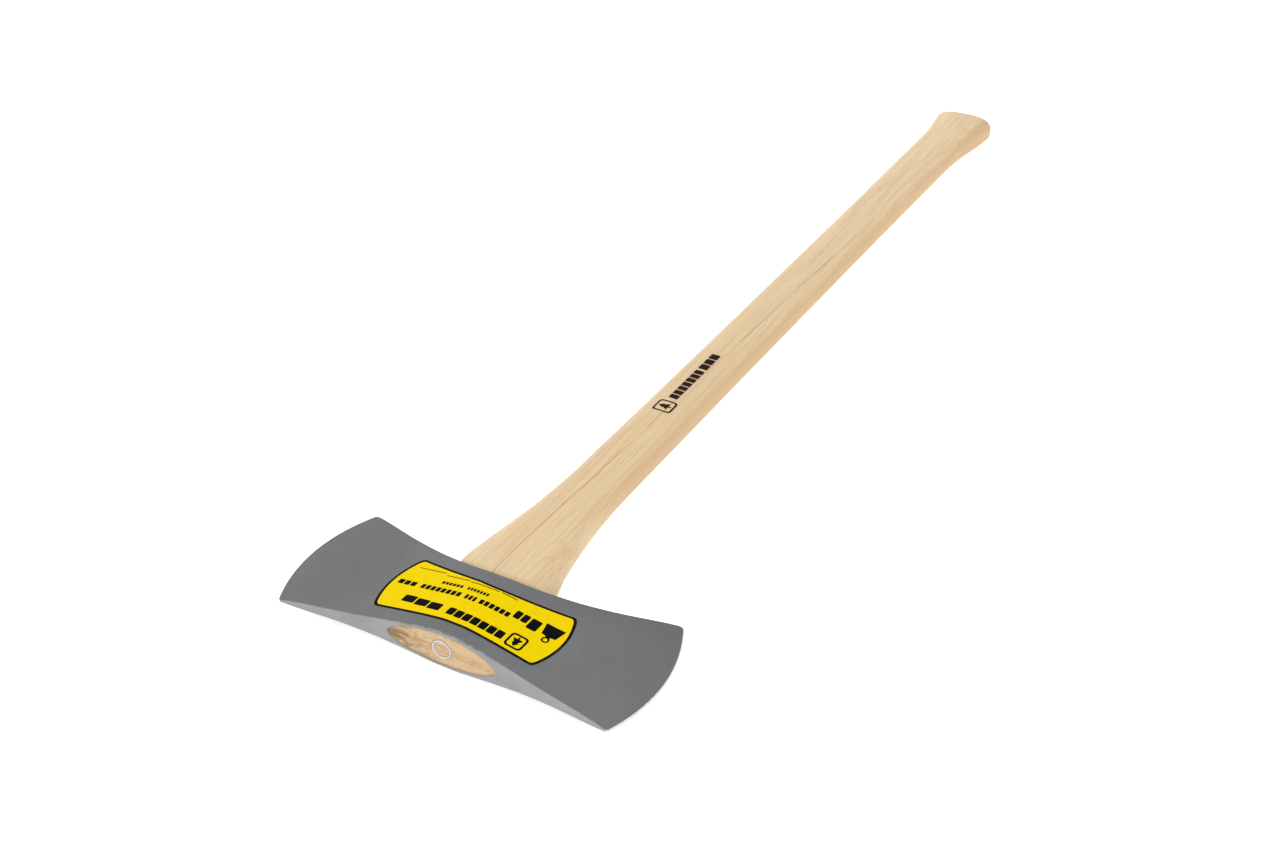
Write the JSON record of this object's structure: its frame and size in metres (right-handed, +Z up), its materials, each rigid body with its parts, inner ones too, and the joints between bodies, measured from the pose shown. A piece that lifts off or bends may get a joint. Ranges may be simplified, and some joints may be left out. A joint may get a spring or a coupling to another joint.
{
  "type": "double-bit felling axe",
  "caption": "Double-bit felling axe: waisted grey steel head with a curved edge at each end, held on a long straight hickory handle by a wood wedge and a round steel wedge.",
  "frame": {"origin": "centre of the underside of the bounding box, with the axe lying on one cheek of its head and the butt of its handle", "axes": "+Y from the head towards the butt of the handle, X from one cutting edge to the other, +Z up out of the labelled cheek"},
  "size_m": [0.261, 0.9256, 0.0296],
  "materials": {
    "head_paint": "satin grey coating over forged steel, bare steel along the ground edges",
    "handle_wood": "smooth pale hickory with a thin clear coat",
    "wedge_wood": "raw end grain",
    "ring_steel": "bright drawn tube",
    "label_vinyl": "smooth printed vinyl"
  },
  "bodies": {
    "root": {"axe_head": "head_paint", "handle": "handle_wood", "wood_wedge": "wedge_wood", "ring_wedge": "ring_steel", "face_label": "label_vinyl"}
  },
  "joints": []
}
